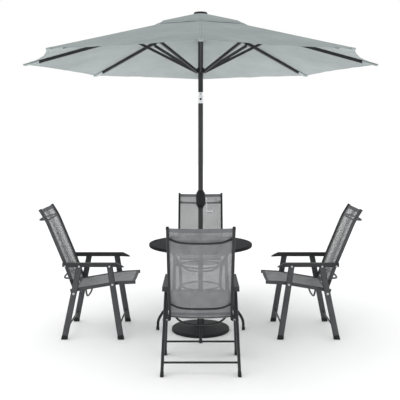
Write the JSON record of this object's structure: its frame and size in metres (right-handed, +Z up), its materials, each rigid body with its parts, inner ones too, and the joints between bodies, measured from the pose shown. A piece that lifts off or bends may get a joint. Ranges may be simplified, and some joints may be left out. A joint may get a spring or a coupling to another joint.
{
  "type": "patio dining set",
  "caption": "Outdoor dining set: a round table with a tilting crank umbrella through its middle and folding sling armchairs around it.",
  "frame": {"origin": "on the floor under the middle of the table, on the umbrella pole's axis", "axes": "+Z up, +X towards the right-hand chair, +Y towards the far chair; a canopy rib points along each of +X and +Y"},
  "size_m": [2.7432, 2.7432, 2.4933],
  "materials": {
    "frame": "satin dark grey powder coat on steel tube",
    "arm_plastic": "moulded dark grey armrest, fine grained",
    "sling_cloth": "open woven vinyl-coated mesh, mid grey",
    "table_top": "dark grey textured top with a rolled rim",
    "base": "matte dark grey hammered coat",
    "mast": "satin black-grey powder coat",
    "rib_metal": "black coated bars",
    "black_plastic": "moulded black plastic",
    "bright_metal": "brushed bright sleeve",
    "crank_metal": "bright plated lever",
    "canopy_cloth": "matte grey-green woven polyester"
  },
  "bodies": {
    "table": {"table_top": "table_top", "table_legs": "frame", "umbrella_base": "base"},
    "knob": {"base_knob": "black_plastic"},
    "mast": {"lower_mast": "mast", "crank_housing": "black_plastic", "tilt_knuckle": "bright_metal"},
    "crank": {"crank_handle": "crank_metal"},
    "shade": {"upper_mast": "mast", "canopy_hub": "black_plastic", "canopy": "canopy_cloth"},
    "runner": {"runner": "black_plastic"},
    "rib_1": {"rib_1": "rib_metal"},
    "strut_1": {"strut_1": "rib_metal"},
    "rib_2": {"rib_2": "rib_metal"},
    "strut_2": {"strut_2": "rib_metal"},
    "rib_3": {"rib_3": "rib_metal"},
    "strut_3": {"strut_3": "rib_metal"},
    "rib_4": {"rib_4": "rib_metal"},
    "strut_4": {"strut_4": "rib_metal"},
    "rib_5": {"rib_5": "rib_metal"},
    "strut_5": {"strut_5": "rib_metal"},
    "rib_6": {"rib_6": "rib_metal"},
    "strut_6": {"strut_6": "rib_metal"},
    "rib_7": {"rib_7": "rib_metal"},
    "strut_7": {"strut_7": "rib_metal"},
    "rib_8": {"rib_8": "rib_metal"},
    "strut_8": {"strut_8": "rib_metal"},
    "left_chair_legs": {"left_chair_rear_legs": "frame"},
    "left_chair_arms": {"left_chair_left_arm": "arm_plastic", "left_chair_right_arm": "arm_plastic"},
    "left_chair_front": {"left_chair_front_legs": "frame"},
    "left_chair_back": {"left_chair_back_frame": "frame", "left_chair_back_sling": "sling_cloth"},
    "left_chair_seat": {"left_chair_seat_frame": "frame", "left_chair_seat_sling": "sling_cloth"},
    "right_chair_legs": {"right_chair_rear_legs": "frame"},
    "right_chair_arms": {"right_chair_left_arm": "arm_plastic", "right_chair_right_arm": "arm_plastic"},
    "right_chair_front": {"right_chair_front_legs": "frame"},
    "right_chair_back": {"right_chair_back_frame": "frame", "right_chair_back_sling": "sling_cloth"},
    "right_chair_seat": {"right_chair_seat_frame": "frame", "right_chair_seat_sling": "sling_cloth"},
    "near_chair_legs": {"near_chair_rear_legs": "frame"},
    "near_chair_arms": {"near_chair_left_arm": "arm_plastic", "near_chair_right_arm": "arm_plastic"},
    "near_chair_front": {"near_chair_front_legs": "frame"},
    "near_chair_back": {"near_chair_back_frame": "frame", "near_chair_back_sling": "sling_cloth"},
    "near_chair_seat": {"near_chair_seat_frame": "frame", "near_chair_seat_sling": "sling_cloth"},
    "far_chair_legs": {"far_chair_rear_legs": "frame"},
    "far_chair_arms": {"far_chair_left_arm": "arm_plastic", "far_chair_right_arm": "arm_plastic"},
    "far_chair_front": {"far_chair_front_legs": "frame"},
    "far_chair_back": {"far_chair_back_frame": "frame", "far_chair_back_sling": "sling_cloth"},
    "far_chair_seat": {"far_chair_seat_frame": "frame", "far_chair_seat_sling": "sling_cloth"}
  },
  "joints": [
    {"name": "base_knob_turn", "type": "hinge", "parent": "table", "child": "knob", "pos_m": [0, 0, 0.29], "axis": [0, 1, 0], "continuous": true},
    {"name": "mast_turn", "type": "hinge", "parent": "table", "child": "mast", "pos_m": [0, 0, 1], "axis": [0, 0, 1], "continuous": true},
    {"name": "crank_turn", "type": "hinge", "parent": "mast", "child": "crank", "pos_m": [0.0378, 0, 1.051], "axis": [1, 0, 0], "continuous": true},
    {"name": "shade_tilt", "type": "hinge", "parent": "mast", "child": "shade", "pos_m": [0, 0, 1.871], "axis": [0, 1, 0], "range_deg": [-35, 0]},
    {"name": "runner_slide", "type": "slide", "parent": "shade", "child": "runner", "axis": [0, 0, -1], "range_m": [0, 0.66663], "deforming": ["canopy"]},
    {"name": "rib_1_fold", "type": "hinge", "parent": "shade", "child": "rib_1", "pos_m": [0.038, 0, 2.44418], "axis": [0, 1, 0], "range_deg": [-0.2, 72.56]},
    {"name": "strut_1_fold", "type": "hinge", "parent": "rib_1", "child": "strut_1", "pos_m": [0.53132, 0, 2.28796], "axis": [0, 1, 0], "range_deg": [-136.12, 0.3]},
    {"name": "rib_2_fold", "type": "hinge", "parent": "shade", "child": "rib_2", "pos_m": [0.02687, 0.02687, 2.44418], "axis": [-0.7071, 0.7071, 0], "range_deg": [-0.2, 72.56]},
    {"name": "strut_2_fold", "type": "hinge", "parent": "rib_2", "child": "strut_2", "pos_m": [0.3757, 0.3757, 2.28796], "axis": [-0.7071, 0.7071, 0], "range_deg": [-136.12, 0.3]},
    {"name": "rib_3_fold", "type": "hinge", "parent": "shade", "child": "rib_3", "pos_m": [0, 0.038, 2.44418], "axis": [-1, 0, 0], "range_deg": [-0.2, 72.56]},
    {"name": "strut_3_fold", "type": "hinge", "parent": "rib_3", "child": "strut_3", "pos_m": [0, 0.53132, 2.28796], "axis": [-1, 0, 0], "range_deg": [-136.12, 0.3]},
    {"name": "rib_4_fold", "type": "hinge", "parent": "shade", "child": "rib_4", "pos_m": [-0.02687, 0.02687, 2.44418], "axis": [-0.7071, -0.7071, 0], "range_deg": [-0.2, 72.56]},
    {"name": "strut_4_fold", "type": "hinge", "parent": "rib_4", "child": "strut_4", "pos_m": [-0.3757, 0.3757, 2.28796], "axis": [-0.7071, -0.7071, 0], "range_deg": [-136.12, 0.3]},
    {"name": "rib_5_fold", "type": "hinge", "parent": "shade", "child": "rib_5", "pos_m": [-0.038, 0, 2.44418], "axis": [0, -1, 0], "range_deg": [-0.2, 72.56]},
    {"name": "strut_5_fold", "type": "hinge", "parent": "rib_5", "child": "strut_5", "pos_m": [-0.53132, 0, 2.28796], "axis": [0, -1, 0], "range_deg": [-136.12, 0.3]},
    {"name": "rib_6_fold", "type": "hinge", "parent": "shade", "child": "rib_6", "pos_m": [-0.02687, -0.02687, 2.44418], "axis": [0.7071, -0.7071, 0], "range_deg": [-0.2, 72.56]},
    {"name": "strut_6_fold", "type": "hinge", "parent": "rib_6", "child": "strut_6", "pos_m": [-0.3757, -0.3757, 2.28796], "axis": [0.7071, -0.7071, 0], "range_deg": [-136.12, 0.3]},
    {"name": "rib_7_fold", "type": "hinge", "parent": "shade", "child": "rib_7", "pos_m": [0, -0.038, 2.44418], "axis": [1, 0, 0], "range_deg": [-0.2, 72.56]},
    {"name": "strut_7_fold", "type": "hinge", "parent": "rib_7", "child": "strut_7", "pos_m": [0, -0.53132, 2.28796], "axis": [1, 0, 0], "range_deg": [-136.12, 0.3]},
    {"name": "rib_8_fold", "type": "hinge", "parent": "shade", "child": "rib_8", "pos_m": [0.02687, -0.02687, 2.44418], "axis": [0.7071, 0.7071, 0], "range_deg": [-0.2, 72.56]},
    {"name": "strut_8_fold", "type": "hinge", "parent": "rib_8", "child": "strut_8", "pos_m": [0.3757, -0.3757, 2.28796], "axis": [0.7071, 0.7071, 0], "range_deg": [-136.12, 0.3]},
    {"name": "left_chair_pull", "type": "slide", "parent": "table", "child": "left_chair_legs", "axis": [-1, 0, 0], "range_m": [-0.18, 0.35]},
    {"name": "left_chair_fold", "type": "hinge", "parent": "left_chair_legs", "child": "left_chair_arms", "pos_m": [-0.922, 0, 0.562], "axis": [0, -1, 0], "range_deg": [0, 64]},
    {"name": "left_chair_front_fold", "type": "hinge", "parent": "left_chair_arms", "child": "left_chair_front", "pos_m": [-0.692, 0, 0.562], "axis": [0, -1, 0], "range_deg": [-82.3, 0.3]},
    {"name": "left_chair_back_fold", "type": "hinge", "parent": "left_chair_arms", "child": "left_chair_back", "pos_m": [-1.03, 0, 0.563], "axis": [0, -1, 0], "range_deg": [-111.3, 0.3]},
    {"name": "left_chair_seat_fold", "type": "hinge", "parent": "left_chair_legs", "child": "left_chair_seat", "pos_m": [-0.96684, 0, 0.352], "axis": [0, -1, 0], "range_deg": [-0.3, 53.3]},
    {"name": "right_chair_pull", "type": "slide", "parent": "table", "child": "right_chair_legs", "axis": [1, 0, 0], "range_m": [-0.18, 0.35]},
    {"name": "right_chair_fold", "type": "hinge", "parent": "right_chair_legs", "child": "right_chair_arms", "pos_m": [0.922, 0, 0.562], "axis": [0, 1, 0], "range_deg": [0, 64]},
    {"name": "right_chair_front_fold", "type": "hinge", "parent": "right_chair_arms", "child": "right_chair_front", "pos_m": [0.692, 0, 0.562], "axis": [0, 1, 0], "range_deg": [-82.3, 0.3]},
    {"name": "right_chair_back_fold", "type": "hinge", "parent": "right_chair_arms", "child": "right_chair_back", "pos_m": [1.03, 0, 0.563], "axis": [0, 1, 0], "range_deg": [-111.3, 0.3]},
    {"name": "right_chair_seat_fold", "type": "hinge", "parent": "right_chair_legs", "child": "right_chair_seat", "pos_m": [0.96684, 0, 0.352], "axis": [0, 1, 0], "range_deg": [-0.3, 53.3]},
    {"name": "near_chair_pull", "type": "slide", "parent": "table", "child": "near_chair_legs", "axis": [0, -1, 0], "range_m": [-0.18, 0.35]},
    {"name": "near_chair_fold", "type": "hinge", "parent": "near_chair_legs", "child": "near_chair_arms", "pos_m": [0, -0.922, 0.562], "axis": [1, 0, 0], "range_deg": [0, 64]},
    {"name": "near_chair_front_fold", "type": "hinge", "parent": "near_chair_arms", "child": "near_chair_front", "pos_m": [0, -0.692, 0.562], "axis": [1, 0, 0], "range_deg": [-82.3, 0.3]},
    {"name": "near_chair_back_fold", "type": "hinge", "parent": "near_chair_arms", "child": "near_chair_back", "pos_m": [0, -1.03, 0.563], "axis": [1, 0, 0], "range_deg": [-111.3, 0.3]},
    {"name": "near_chair_seat_fold", "type": "hinge", "parent": "near_chair_legs", "child": "near_chair_seat", "pos_m": [0, -0.96684, 0.352], "axis": [1, 0, 0], "range_deg": [-0.3, 53.3]},
    {"name": "far_chair_pull", "type": "slide", "parent": "table", "child": "far_chair_legs", "axis": [0, 1, 0], "range_m": [-0.18, 0.35]},
    {"name": "far_chair_fold", "type": "hinge", "parent": "far_chair_legs", "child": "far_chair_arms", "pos_m": [0, 0.922, 0.562], "axis": [-1, 0, 0], "range_deg": [0, 64]},
    {"name": "far_chair_front_fold", "type": "hinge", "parent": "far_chair_arms", "child": "far_chair_front", "pos_m": [0, 0.692, 0.562], "axis": [-1, 0, 0], "range_deg": [-82.3, 0.3]},
    {"name": "far_chair_back_fold", "type": "hinge", "parent": "far_chair_arms", "child": "far_chair_back", "pos_m": [0, 1.03, 0.563], "axis": [-1, 0, 0], "range_deg": [-111.3, 0.3]},
    {"name": "far_chair_seat_fold", "type": "hinge", "parent": "far_chair_legs", "child": "far_chair_seat", "pos_m": [0, 0.96684, 0.352], "axis": [-1, 0, 0], "range_deg": [-0.3, 53.3]}
  ],
  "couplings": [
    {"joint": "rib_1_fold", "follows": "runner_slide", "rad_per_m": 1.8946},
    {"joint": "strut_1_fold", "follows": "runner_slide", "rad_per_m": -3.5561},
    {"joint": "rib_2_fold", "follows": "runner_slide", "rad_per_m": 1.8946},
    {"joint": "strut_2_fold", "follows": "runner_slide", "rad_per_m": -3.5561},
    {"joint": "rib_3_fold", "follows": "runner_slide", "rad_per_m": 1.8946},
    {"joint": "strut_3_fold", "follows": "runner_slide", "rad_per_m": -3.5561},
    {"joint": "rib_4_fold", "follows": "runner_slide", "rad_per_m": 1.8946},
    {"joint": "strut_4_fold", "follows": "runner_slide", "rad_per_m": -3.5561},
    {"joint": "rib_5_fold", "follows": "runner_slide", "rad_per_m": 1.8946},
    {"joint": "strut_5_fold", "follows": "runner_slide", "rad_per_m": -3.5561},
    {"joint": "rib_6_fold", "follows": "runner_slide", "rad_per_m": 1.8946},
    {"joint": "strut_6_fold", "follows": "runner_slide", "rad_per_m": -3.5561},
    {"joint": "rib_7_fold", "follows": "runner_slide", "rad_per_m": 1.8946},
    {"joint": "strut_7_fold", "follows": "runner_slide", "rad_per_m": -3.5561},
    {"joint": "rib_8_fold", "follows": "runner_slide", "rad_per_m": 1.8946},
    {"joint": "strut_8_fold", "follows": "runner_slide", "rad_per_m": -3.5561},
    {"joint": "left_chair_front_fold", "follows": "left_chair_fold", "ratio": -1.2812},
    {"joint": "left_chair_back_fold", "follows": "left_chair_fold", "ratio": -1.7344},
    {"joint": "left_chair_seat_fold", "follows": "left_chair_fold", "ratio": 0.82812},
    {"joint": "right_chair_front_fold", "follows": "right_chair_fold", "ratio": -1.2812},
    {"joint": "right_chair_back_fold", "follows": "right_chair_fold", "ratio": -1.7344},
    {"joint": "right_chair_seat_fold", "follows": "right_chair_fold", "ratio": 0.82812},
    {"joint": "near_chair_front_fold", "follows": "near_chair_fold", "ratio": -1.2812},
    {"joint": "near_chair_back_fold", "follows": "near_chair_fold", "ratio": -1.7344},
    {"joint": "near_chair_seat_fold", "follows": "near_chair_fold", "ratio": 0.82812},
    {"joint": "far_chair_front_fold", "follows": "far_chair_fold", "ratio": -1.2812},
    {"joint": "far_chair_back_fold", "follows": "far_chair_fold", "ratio": -1.7344},
    {"joint": "far_chair_seat_fold", "follows": "far_chair_fold", "ratio": 0.82812}
  ]
}
